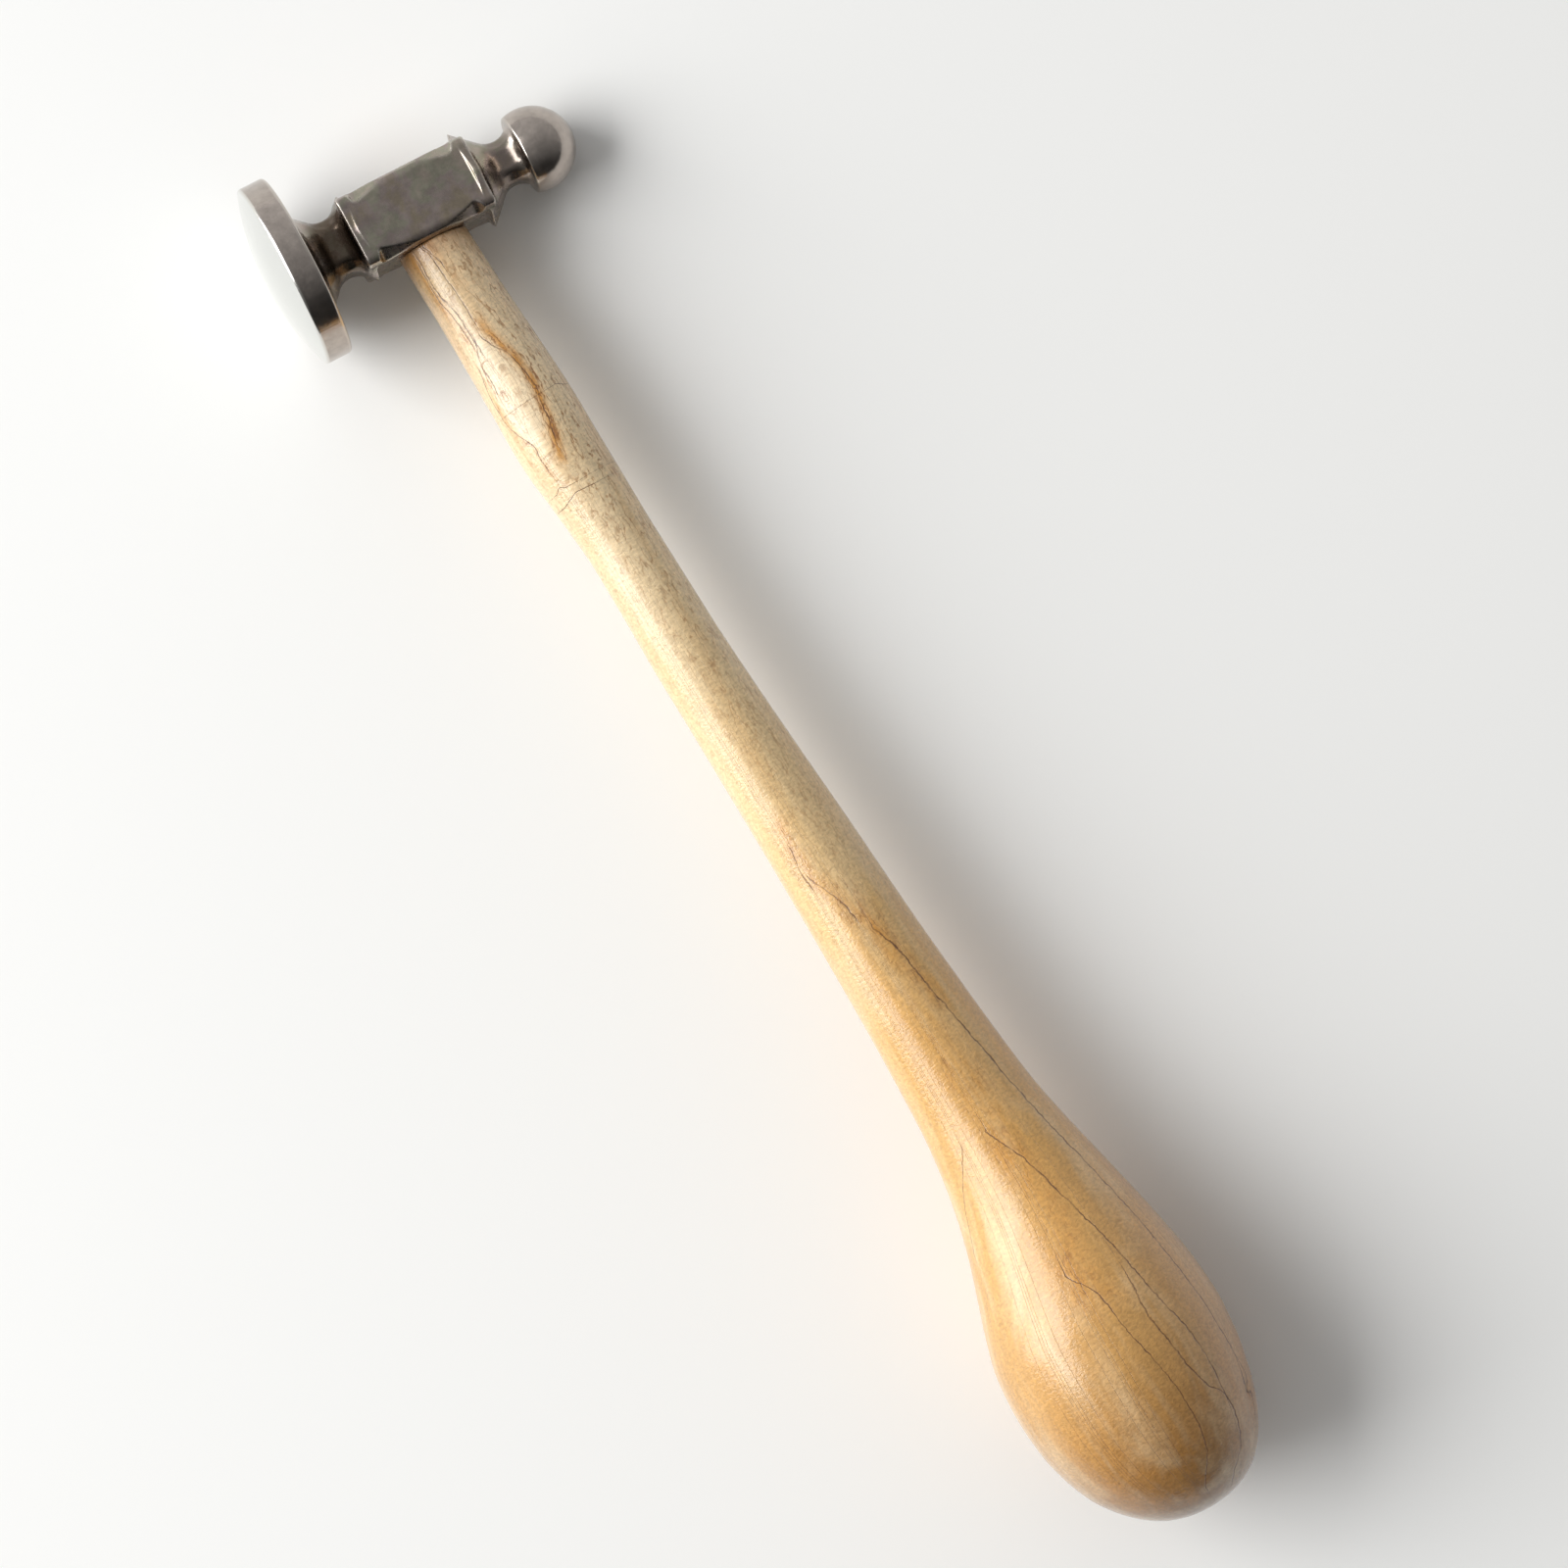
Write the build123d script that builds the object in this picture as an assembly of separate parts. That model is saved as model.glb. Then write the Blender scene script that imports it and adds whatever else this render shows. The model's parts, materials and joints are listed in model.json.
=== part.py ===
"""Chasing hammer: a one-piece steel head with a broad crowned face and a ball peen, on a slender
wooden handle that swells into a pear-shaped grip and is wedged in the head's oval eye.

Each piece is drawn in the hammer's own axes: X runs along the head from the face to the peen, Y is
square to the cheeks, Z points up out of the eye, and the origin is the middle of the eye block. The
finished pieces are then laid down together the way the hammer lies on a bench, on the rim of its
face, its peen and its grip, with +X towards the head, +Y towards the face and +Z up.
"""

import os
from math import cos, hypot, radians, sin, sqrt

from build123d import *

# Head, in millimetres
FACE_RADIUS = 14.3
FACE_CROWN = 2.6
FACE_FRONT_X = -22.0
FACE_RIM = 4.1
FACE_BACK_TAPER = 1.1
FACE_EDGE_ROUND = 0.35
BLOCK_LENGTH = 21.2
BLOCK_WIDTH = 14.0
BLOCK_HEIGHT = 11.5
BLOCK_EDGE_ROUND = 0.45
FACE_NECK_X = -13.1
FACE_NECK_HALF = 4.4
FACE_NECK_ROUND = 2.8
FACE_NECK_SLOPES = (1.15, 1.15)
PEEN_NECK_X = 15.9
PEEN_NECK_HALF = 3.45
PEEN_NECK_ROUND = 2.9
PEEN_NECK_SLOPES = (1.15, 2.4)
NECK_CORNER_SHARE = 1.12
BALL_RADIUS = 6.45
BALL_X = 19.8
BALL_BACK_X = 17.6
BALL_BACK_ROUND = 0.35

# Scalloped cut at each end of the cheeks' long edges
SCALLOP_WALL_X = 8.4
SCALLOP_WALL_LEAN = 0.4
SCALLOP_RUNOUT_X = 1.4
SCALLOP_DEPTH = 1.55
SCALLOP_ROUND = 0.9

# Eye: an oval hole that is narrowest in the middle, drilled a little off square
EYE_X = -0.4
HANG_ANGLE = 4.0
EYE_LONG = 10.4
EYE_SHORT = 8.4
EYE_FLARE_TOP = 0.7
EYE_FLARE_BOTTOM = 0.3

# Handle: distance below the middle of the eye, diameter, and sideways drift towards the peen
HANDLE_STATIONS = [
    (5.2, 11.0, 0.0),
    (14.4, 11.1, 0.0),
    (26.0, 11.7, 0.0),
    (32.0, 12.1, -0.05),
    (38.0, 12.35, -0.23),
    (42.0, 12.25, -0.32),
    (47.0, 11.8, -0.2),
    (52.0, 11.35, -0.08),
    (58.5, 10.9, 0.0),
    (69.0, 11.15, -0.14),
    (78.0, 11.5, -0.3),
    (86.5, 11.85, -0.25),
    (98.5, 12.55, -0.15),
    (112.5, 13.5, -0.05),
    (127.0, 14.5, -0.05),
    (141.5, 15.95, 0.0),
    (150.0, 17.1, 0.0),
    (156.0, 18.1, 0.0),
    (162.0, 19.85, 0.0),
    (168.0, 22.2, -0.05),
    (174.0, 25.1, -0.3),
    (180.0, 28.4, -0.8),
    (186.0, 31.65, -1.4),
    (192.0, 34.1, -1.9),
    (198.0, 34.9, -2.1),
    (204.0, 34.1, -2.35),
    (209.0, 32.1, -2.45),
    (213.5, 29.1, -2.4),
    (217.0, 25.3, -2.2),
    (220.0, 20.5, -1.95),
    (222.1, 15.2, -1.75),
    (223.4, 9.4, -1.65),
    (223.9, 4.6, -1.6),
]
HANDLE_END = 224.05

# Wedges
WOOD_WEDGE_THICK = 2.0
WOOD_WEDGE_TIP = 0.7
WOOD_WEDGE_DEPTH = 9.0
STEEL_WEDGE_WIDTH = 6.4
STEEL_WEDGE_THICK = 1.6
STEEL_WEDGE_TIP = 0.4
STEEL_WEDGE_DEPTH = 7.5
STEEL_WEDGE_STEPS = 3
STEEL_WEDGE_BARB = 0.12

HALF_LENGTH = BLOCK_LENGTH / 2
HALF_WIDTH = BLOCK_WIDTH / 2
HALF_HEIGHT = BLOCK_HEIGHT / 2
FACE_BACK_X = FACE_FRONT_X + FACE_RIM
CORNER_DISTANCE = (HALF_WIDTH + HALF_HEIGHT) / sqrt(2)
CLEAR = 4.0  # how far a cutting outline stands outside the stock
OVER_TOP = HALF_HEIGHT + 0.5  # wedges are driven from here and then ground flush with the head


def bar_with_outline(upper, start, end, turn):
    """A bar along X that is mirror-symmetric, with the given upper edge, turned about X."""
    lower = mirror(upper, about=Plane.XZ)
    ends = [
        Line(start, (start[0], -start[1])),
        Line(end, (end[0], -end[1])),
    ]
    outline = make_face([*upper.edges(), *lower.edges(), *ends])
    bar = extrude(outline, amount=3 * HALF_LENGTH, both=True)
    return Rot(90 + turn, 0, 0) * bar


def neck(centre_x, half, bend, slopes, start_x, end_x):
    """A waisted octagonal bar: eight concave facets ground one after another.

    Each facet is an arc between two slopes that would meet at centre_x, and half is how far its
    lowest point stays from the axis.
    """
    body = None
    steep = [sqrt(1 + slope**2) for slope in slopes]
    shift = bend * (steep[0] - steep[1]) / sum(slopes)
    for turn in (0, 45, 90, 135):
        share = NECK_CORNER_SHARE if turn % 90 else 1.0
        low = half * share + bend - bend * steep[0] + slopes[0] * shift
        start = (start_x, low + slopes[0] * (centre_x - start_x))
        end = (end_x, low + slopes[1] * (end_x - centre_x))
        upper = FilletPolyline(start, (centre_x, low), end, radius=bend)
        facets = bar_with_outline(upper, start, end, turn)
        body = facets if body is None else body & facets
    return body


def scallops(turn):
    """Everything that stays when the scallops are cut along two opposite edges of the block."""
    clear = CORNER_DISTANCE + CLEAR
    half = [
        (HALF_LENGTH + CLEAR, clear),
        (SCALLOP_WALL_X + SCALLOP_WALL_LEAN, clear),
        (SCALLOP_WALL_X - SCALLOP_WALL_LEAN, CORNER_DISTANCE - SCALLOP_DEPTH),
        (SCALLOP_RUNOUT_X, CORNER_DISTANCE),
    ]
    left = [(-x, height) for x, height in half]
    points = [*left, *reversed(half)]
    rounds = [0.0, SCALLOP_ROUND, SCALLOP_ROUND, SCALLOP_ROUND, SCALLOP_ROUND, 0.0]
    upper = FilletPolyline(*points, radius=rounds)
    return bar_with_outline(upper, points[0], points[-1], turn)


def eye_block():
    """The block round the eye: flat cheeks, rounded edges and eight scalloped cuts."""
    block = Box(BLOCK_LENGTH, BLOCK_WIDTH, BLOCK_HEIGHT)
    block = fillet(block.edges(), BLOCK_EDGE_ROUND)
    for turn in (45, -45):
        block = block & scallops(turn)
    return block


def face_disc():
    """The broad striking disc: crowned front, plain rim and a back that tapers to the neck."""
    back_in = FACE_BACK_X + FACE_BACK_TAPER
    front = (FACE_FRONT_X - FACE_CROWN, 0)
    outline = make_face(
        [
            Line((back_in, 0), (back_in, FACE_NECK_HALF)),
            Line((back_in, FACE_NECK_HALF), (FACE_BACK_X, FACE_RADIUS)),
            Line((FACE_BACK_X, FACE_RADIUS), (FACE_FRONT_X, FACE_RADIUS)),
            RadiusArc(
                (FACE_FRONT_X, FACE_RADIUS),
                front,
                -(FACE_RADIUS**2 + FACE_CROWN**2) / (2 * FACE_CROWN),
            ),
            Line(front, (back_in, 0)),
        ]
    )
    disc = revolve(outline, axis=Axis.X)
    rim_edges = [
        edge
        for edge in disc.edges().filter_by(GeomType.CIRCLE)
        if abs(edge.radius - FACE_RADIUS) < 0.01
    ]
    return fillet(rim_edges, FACE_EDGE_ROUND)


def oval(height, grow):
    """The eye's oval outline at one height, grown by the flare there."""
    return Pos(0, 0, height) * Ellipse(EYE_LONG / 2 + grow, EYE_SHORT / 2 + grow)


def along_eye(piece):
    """Places a piece drawn on the eye's own axis into the head."""
    return Pos(EYE_X, 0, 0) * Rot(0, -HANG_ANGLE, 0) * piece


def eye_plug():
    """The space inside the eye: narrowest in the middle and flared at both mouths."""
    over = HALF_HEIGHT + CLEAR
    rise = over / HALF_HEIGHT
    upper = loft([oval(0, 0), oval(over, EYE_FLARE_TOP * rise)])
    lower = loft([oval(0, 0), oval(-over, EYE_FLARE_BOTTOM * rise)])
    return along_eye(upper + lower)


def ball_peen():
    """The ball, faced off flat behind where the neck's fillet runs up to it."""
    ball = Pos(BALL_X, 0, 0) * Sphere(BALL_RADIUS)
    ball -= Pos(BALL_BACK_X - BALL_RADIUS, 0, 0) * Box(*[2 * BALL_RADIUS] * 3)
    back_edge = ball.edges().filter_by(GeomType.CIRCLE).sort_by(Axis.X)[0]
    return fillet(back_edge, BALL_BACK_ROUND)


def head():
    face_neck = neck(
        FACE_NECK_X,
        FACE_NECK_HALF,
        FACE_NECK_ROUND,
        FACE_NECK_SLOPES,
        FACE_BACK_X,
        -HALF_LENGTH + 0.5,
    )
    peen_neck = neck(
        PEEN_NECK_X,
        PEEN_NECK_HALF,
        PEEN_NECK_ROUND,
        PEEN_NECK_SLOPES,
        HALF_LENGTH - 0.5,
        BALL_BACK_X + 0.2,
    )
    body = eye_block() + face_neck + peen_neck + face_disc() + ball_peen()
    return body - eye_plug()


def eye_length():
    """The slab between the block's top and underside, which everything in the eye is flush with."""
    return Box(3 * EYE_LONG, 3 * EYE_LONG, BLOCK_HEIGHT)


def wedge(width, thick, tip, depth, top):
    """A plain wedge, pointing down, as wide as given along X."""
    outline = make_face(
        Polyline(
            (-thick / 2, top),
            (thick / 2, top),
            (tip / 2, top - depth),
            (-tip / 2, top - depth),
            close=True,
        )
    )
    return extrude(Plane.YZ * outline, amount=width / 2, both=True)


def wooden_wedge():
    """Driven into the tenon's saw kerf, along the head, so that it spreads the tenon sideways."""
    blank = wedge(
        2 * EYE_LONG, WOOD_WEDGE_THICK, WOOD_WEDGE_TIP, WOOD_WEDGE_DEPTH, OVER_TOP
    )
    return (along_eye(blank) & eye_plug() & eye_length()) - steel_wedge()


def steel_wedge():
    """Driven across the wooden one, with stepped barbs that keep it from creeping out."""
    step = STEEL_WEDGE_DEPTH / STEEL_WEDGE_STEPS
    taper = (STEEL_WEDGE_THICK - STEEL_WEDGE_TIP) / 2 / STEEL_WEDGE_DEPTH
    side = []
    for i in range(STEEL_WEDGE_STEPS):
        upper = STEEL_WEDGE_THICK / 2 - taper * step * i
        lower = upper - taper * step - STEEL_WEDGE_BARB
        side.append((upper, OVER_TOP - step * i))
        side.append((lower, OVER_TOP - step * (i + 1)))
    mirrored = [(-x, z) for x, z in reversed(side)]
    outline = make_face(Polyline(*side, *mirrored, close=True))
    blank = extrude(Plane.XZ * outline, amount=STEEL_WEDGE_WIDTH / 2, both=True)
    return along_eye(blank) & eye_length()


def handle():
    """Turned grip and shaft, with the tenon that fills the eye."""
    sections = [
        Pos(drift, 0, -depth) * Circle(diameter / 2)
        for depth, diameter, drift in HANDLE_STATIONS
    ]
    tip = Vertex(HANDLE_STATIONS[-1][2], 0, -HANDLE_END)
    shaft = along_eye(loft([*sections, tip]))
    whole = (shaft - eye_length()) + (eye_plug() & eye_length())
    return whole - wooden_wedge() - steel_wedge()


def lowest(normal, centre, radius, axis):
    """How far down a round disc reaches along normal: its centre, radius and own axis are given."""
    along = sum(n * a for n, a in zip(normal, axis))
    level = sum(n * c for n, c in zip(normal, centre))
    return level - radius * sqrt(max(0.0, 1 - along**2))


def rest_normal():
    """The direction that points up, in the hammer's axes, when it lies on its side on a bench.

    The hammer rests on the back edge of the face's rim, the ball and the fattest part of the grip.
    """
    lean = radians(HANG_ANGLE)
    down = (sin(lean), 0, -cos(lean))
    roll, pitch = 0.2, 0.0
    for _ in range(60):
        normal = (-sin(roll), -cos(roll) * cos(pitch), cos(roll) * sin(pitch))
        rim = lowest(
            normal,
            (FACE_BACK_X + FACE_EDGE_ROUND, 0, 0),
            FACE_RADIUS - FACE_EDGE_ROUND,
            (1, 0, 0),
        )
        rim -= FACE_EDGE_ROUND
        ball = normal[0] * BALL_X - BALL_RADIUS
        grip = min(
            lowest(
                normal,
                (
                    EYE_X + depth * down[0] + drift * cos(lean),
                    0,
                    depth * down[2] + drift * sin(lean),
                ),
                diameter / 2,
                down,
            )
            for depth, diameter, drift in HANDLE_STATIONS
        )
        span = BALL_X - FACE_BACK_X
        roll -= (rim - ball) / span
        pitch += (grip - rim) / HANDLE_END
    return normal, rim


def on_bench():
    """The placement that lays the hammer down: +X to the head, +Y to the face, +Z up."""
    normal, level = rest_normal()
    lean = radians(HANG_ANGLE)
    up_handle = (-sin(lean), 0, cos(lean))
    share = sum(n * u for n, u in zip(normal, up_handle))
    flat = [u - share * n for n, u in zip(normal, up_handle)]
    size = hypot(*flat)
    x_dir = [f / size for f in flat]
    bench = Plane(origin=(0, 0, 0), x_dir=tuple(x_dir), z_dir=normal)
    return Pos(0, 0, -level) * bench.location.inverse()


def main():
    os.makedirs("parts", exist_ok=True)
    lay = on_bench()
    pieces = {
        "head": head(),
        "handle": handle(),
        "wooden_wedge": wooden_wedge(),
        "steel_wedge": steel_wedge(),
    }
    laid = {name: lay * piece for name, piece in pieces.items()}
    box = Compound(children=[Part(piece.wrapped) for piece in laid.values()]).bounding_box()
    centre = Pos(-box.center().X, -box.center().Y, 0)
    print("laid down by", lay, "then moved by", centre)
    for name, piece in laid.items():
        export_step(centre * piece, f"parts/{name}.step")


main()
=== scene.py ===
"""Chasing hammer: a forged steel head with a crowned face and a ball peen, on a lacquered
wooden handle that is wedged in the head's oval eye."""

import json
from math import cos, pi, radians, sin, sqrt

import bmesh
import bpy
import numpy as np
from mathutils import Matrix, Vector


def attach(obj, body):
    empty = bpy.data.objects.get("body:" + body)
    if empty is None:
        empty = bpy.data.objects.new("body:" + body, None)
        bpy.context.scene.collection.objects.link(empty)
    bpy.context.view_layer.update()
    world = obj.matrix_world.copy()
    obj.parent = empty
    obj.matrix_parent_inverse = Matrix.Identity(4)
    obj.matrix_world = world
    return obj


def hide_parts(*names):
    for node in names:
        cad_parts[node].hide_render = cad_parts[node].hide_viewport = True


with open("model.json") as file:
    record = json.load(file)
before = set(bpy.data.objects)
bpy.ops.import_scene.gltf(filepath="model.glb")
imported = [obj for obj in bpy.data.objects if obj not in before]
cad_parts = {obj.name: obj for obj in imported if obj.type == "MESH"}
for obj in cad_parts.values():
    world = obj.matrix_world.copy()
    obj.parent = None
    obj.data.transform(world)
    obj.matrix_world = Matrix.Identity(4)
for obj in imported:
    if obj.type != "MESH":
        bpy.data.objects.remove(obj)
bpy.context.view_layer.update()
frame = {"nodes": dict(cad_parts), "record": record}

# The hammer's own axes: X along the head towards the ball, Y into the bench, Z out of the top of
# the eye, with the origin in the middle of the eye block. Everything below is drawn there in
# millimetres and then laid on the bench, as the head's named faces give it.
mounts = {mount["name"]: mount for mount in frame["record"]["mounts"]}
to_ball = -Vector(mounts["striking_face"]["axis"])
to_bench = -Vector(mounts["upper_cheek"]["axis"])
to_top = Vector(mounts["head_top"]["axis"])
CHEEK_HALF = 7.0
eye_middle = Vector(mounts["upper_cheek"]["pos_m"]) + to_bench * CHEEK_HALF / 1000
hammer_axes = Matrix((to_ball, to_bench, to_top)).transposed().to_4x4()
lay_down = Matrix.Translation(eye_middle) @ hammer_axes @ Matrix.Scale(0.001, 4)


def laid_piece(name, points, faces):
    """A closed mesh from points in the hammer's own millimetres, laid on the bench."""
    mesh = bpy.data.meshes.new(name)
    mesh.from_pydata([tuple(p) for p in points], [], faces)
    mesh.transform(lay_down)
    mesh.polygons.foreach_set("use_smooth", [True] * len(mesh.polygons))
    piece = bpy.data.objects.new(name, mesh)
    bpy.context.scene.collection.objects.link(piece)
    return piece


def tube_faces(rings, around):
    """Faces of a closed tube of rings, numbered after one pole point at each end."""
    first, last = rings * around, rings * around + 1
    faces = []
    for j in range(around):
        k = (j + 1) % around
        faces.append((first, k, j))
        end = (rings - 1) * around
        faces.append((last, end + j, end + k))
        for i in range(rings - 1):
            a, b = i * around, (i + 1) * around
            faces.append((a + j, a + k, b + k, b + j))
    return faces


# HEAD
# One forging of tool steel, turned at its two ends and ground by hand between them: a broad
# crowned striking disc, a waisted neck of eight hollow facets, the eye block with its scalloped
# edges, a second neck and the ball.
FACE_RADIUS = 14.3
FACE_CROWN = 2.6
FACE_FRONT = -22.0
FACE_BACK = -17.9
FACE_BACK_TAPER = 1.1
BLOCK_HALF = (10.6, CHEEK_HALF, 5.75)
BLOCK_ROUND = 0.45
FACE_NECK = dict(at=-13.1, half=4.4, bend=2.8, slopes=(1.15, 1.15), corner=1.12)
BALL_NECK = dict(at=15.9, half=3.45, bend=2.9, slopes=(1.15, 2.4), corner=1.08)
BALL_AT, BALL_RADIUS, BALL_BACK = 19.8, 6.45, 17.6
SCALLOP_WALL, SCALLOP_LEAN = 8.4, 0.07
SCALLOP_RUNOUT, SCALLOP_DEPTH = 1.4, 1.55
BLUNTED = 0.5


def meet(a, b, edge):
    """What is inside both shapes, with the edge between them rounded to that radius."""
    over_a, over_b = np.maximum(edge + a, 0), np.maximum(edge + b, 0)
    return np.minimum(-edge, np.maximum(a, b)) + np.hypot(over_a, over_b)


def join(a, b, fillet):
    """What is inside either shape, with a fillet of that radius in the corner between them."""
    return -meet(-a, -b, fillet)


def disc_depth(x, r):
    """How far a point is outside the striking disc (negative inside)."""
    sphere = (FACE_RADIUS**2 + FACE_CROWN**2) / (2 * FACE_CROWN)
    crown = np.hypot(x - (FACE_FRONT - FACE_CROWN + sphere), r) - sphere
    slope = FACE_BACK_TAPER / (FACE_RADIUS - 4.5)
    back = (x - FACE_BACK + (r - FACE_RADIUS) * slope) / sqrt(1 + slope**2)
    return meet(meet(r - FACE_RADIUS, crown, 0.3), back, 0.5)


def neck_depth(x, y, z, neck):
    """Eight hollow facets, each a slope down to the waist, an arc and a slope up again."""
    steep = [sqrt(1 + slope**2) for slope in neck["slopes"]]
    shift = neck["bend"] * (steep[0] - steep[1]) / sum(neck["slopes"])
    along = x - neck["at"] - shift
    slope = np.where(along < 0, *neck["slopes"])
    stretch = np.sqrt(1 + slope**2)
    arc_end = neck["bend"] * slope / stretch
    on_arc = np.minimum(np.abs(along), arc_end)
    rise = neck["bend"] - np.sqrt(neck["bend"] ** 2 - on_arc**2)
    rise = rise + (np.abs(along) - on_arc) * slope
    lean = 1 / np.sqrt(1 + (on_arc / arc_end) ** 2 * slope**2)
    flats = meet(np.abs(y) - neck["half"], np.abs(z) - neck["half"], 0.2)
    corners = (np.abs(y) + np.abs(z)) / sqrt(2) - neck["half"] * neck["corner"]
    return (meet(flats, corners, 0.35) - rise) * lean


def block_depth(x, y, z):
    """The eye block with rounded edges and its eight scallops."""
    gaps = [np.abs(v) - h + BLOCK_ROUND for v, h in zip((x, y, z), BLOCK_HALF)]
    outside = np.sqrt(sum(np.maximum(g, 0) ** 2 for g in gaps))
    block = outside + np.minimum(np.maximum.reduce(gaps), 0) - BLOCK_ROUND
    corner = (CHEEK_HALF + BLOCK_HALF[2]) / sqrt(2)
    diagonal = (np.abs(y) + np.abs(z)) / sqrt(2)
    slope = SCALLOP_DEPTH / (SCALLOP_WALL - SCALLOP_RUNOUT)
    floor = (diagonal - corner + slope * (np.abs(x) - SCALLOP_RUNOUT)) / sqrt(1 + slope**2)
    wall = SCALLOP_WALL + SCALLOP_LEAN * (diagonal - corner + SCALLOP_DEPTH / 2) - np.abs(x)
    fillet = np.where(x < 0, 0.8, 1.3)
    scalloped = meet(block, join(floor, wall, fillet), 0.12)
    return meet(scalloped, diagonal - corner + BLUNTED, 0.6)


def head_depth(x, y, z):
    r = np.hypot(y, z)
    block = block_depth(x, y, z)
    face_neck = np.maximum(neck_depth(x, y, z, FACE_NECK), np.maximum(FACE_FRONT - x, x + 9.5))
    ball_neck = np.maximum(neck_depth(x, y, z, BALL_NECK), np.maximum(9.5 - x, x - BALL_BACK - 0.2))
    ball = meet(np.hypot(x - BALL_AT, r) - BALL_RADIUS, BALL_BACK - x, 0.3)
    face_end = join(disc_depth(x, r), face_neck, 0.4)
    ball_end = join(ball_neck, ball, 0.12)
    return join(join(face_end, block, 0.5), ball_end, 0.5)


# Sight lines from the head's axis to its skin: where each starts, a point it passes through
# (along the head, out from its axis) and how many lie between it and the line before.
SIGHT_LINES = [
    (-19.9, -24.6, 0.05, 1),
    (-19.9, -22.3, 13.4, 34),
    (-19.9, -21.5, 14.3, 12),
    (-19.9, -18.6, 14.3, 12),
    (-19.9, -17.6, 13.4, 12),
    (-19.4, -17.2, 8.6, 18),
    (-13.3, -13.1, 4.5, 26),
    (-10.0, -10.9, 5.8, 14),
    (-8.5, -10.6, 9.2, 22),
    (-8.9, -9.8, 9.3, 8),
    (-10.2, -8.8, 9.2, 8),
    (-10.2, -8.5, 7.6, 14),
    (-7.0, -6.8, 7.7, 14),
    (7.0, 6.8, 7.7, 40),
    (10.2, 8.5, 7.6, 14),
    (10.2, 8.8, 9.2, 14),
    (8.9, 9.8, 9.3, 8),
    (8.5, 10.6, 9.2, 8),
    (10.0, 10.9, 5.3, 22),
    (15.0, 15.0, 3.4, 20),
    (17.4, 17.5, 5.2, 18),
    (18.9, 17.55, 5.8, 8),
    (19.2, 18.1, 6.2, 10),
    (19.8, 20.8, 6.3, 10),
    (19.8, 24.4, 4.4, 14),
    (19.8, 26.25, 0.05, 16),
]
HEAD_AROUND = 240


def head_mesh():
    starts, reach_x, reach_r = [], [], []
    for before, line in zip(SIGHT_LINES, SIGHT_LINES[1:]):
        for step in range(line[3]):
            share = step / line[3]
            starts.append(before[0] + (line[0] - before[0]) * share)
            reach_x.append(before[1] + (line[1] - before[1]) * share)
            reach_r.append(before[2] + (line[2] - before[2]) * share)
    starts.append(SIGHT_LINES[-1][0])
    reach_x.append(SIGHT_LINES[-1][1])
    reach_r.append(SIGHT_LINES[-1][2])
    starts, reach_x, reach_r = (np.array(v)[:, None] for v in (starts, reach_x, reach_r))
    turn = np.arange(HEAD_AROUND)[None, :] * 2 * pi / HEAD_AROUND
    length = np.hypot(reach_x - starts, reach_r)
    along, out = (reach_x - starts) / length, reach_r / length
    near, far = np.zeros((len(starts), HEAD_AROUND)), np.full((len(starts), HEAD_AROUND), 20.0)
    for _ in range(34):
        middle = (near + far) / 2
        x, r = starts + along * middle, out * middle
        outside = head_depth(x, r * np.cos(turn), r * np.sin(turn)) > 0
        near, far = np.where(outside, near, middle), np.where(outside, middle, far)
    x, r = starts + along * near, out * near
    skin = np.stack([x, r * np.cos(turn), r * np.sin(turn)], axis=-1).reshape(-1, 3)
    poles = [(FACE_FRONT - FACE_CROWN, 0, 0), (BALL_AT + BALL_RADIUS, 0, 0)]
    return np.vstack([skin, poles]), tube_faces(len(starts), HEAD_AROUND)


head = laid_piece("head_forging", *head_mesh())

# The oval eye is drilled through it a little off square and flares at both mouths.
EYE_AT = -0.4
HANG_ANGLE = radians(4.0)
EYE_HALF = (5.2, 4.2)
EYE_FLARE = (0.7, 0.3)


def down_handle(depth, side=0.0, across=0.0):
    """A point on the handle's own axes, in the hammer's: depth below the middle of the eye."""
    x = EYE_AT + depth * sin(HANG_ANGLE) + side * cos(HANG_ANGLE)
    return (x, across, -depth * cos(HANG_ANGLE) + side * sin(HANG_ANGLE))


def eye_wall(depth):
    """Half the eye's length and width at one depth, in millimetres."""
    flare = EYE_FLARE[0] if depth < 0 else EYE_FLARE[1]
    grow = flare * abs(depth) / BLOCK_HALF[2]
    return EYE_HALF[0] + grow, EYE_HALF[1] + grow


def eye_mesh(depths, around=96):
    points = []
    for depth in depths:
        long, short = eye_wall(depth)
        for j in range(around):
            turn = 2 * pi * j / around
            points.append(down_handle(depth, long * cos(turn), short * sin(turn)))
    points += [down_handle(depths[0]), down_handle(depths[-1])]
    return points, tube_faces(len(depths), around)


def outward(piece):
    """Turns every face of a closed mesh outwards."""
    work = bmesh.new()
    work.from_mesh(piece.data)
    bmesh.ops.recalc_face_normals(work, faces=work.faces)
    work.to_mesh(piece.data)
    work.free()


def cut_away(piece, tool):
    """Cuts the closed mesh tool out of piece for good."""
    outward(piece)
    outward(tool)
    cut = piece.modifiers.new("cut", "BOOLEAN")
    cut.operation, cut.solver, cut.object = "DIFFERENCE", "EXACT", tool
    bpy.context.view_layer.update()
    shown = piece.evaluated_get(bpy.context.evaluated_depsgraph_get())
    result = bpy.data.meshes.new_from_object(shown)
    piece.modifiers.clear()
    piece.data = result
    bpy.data.objects.remove(tool)


cut_away(head, laid_piece("eye_tool", *eye_mesh([-9, -6, -3, 0, 3, 6, 9])))
outward(head)


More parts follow.
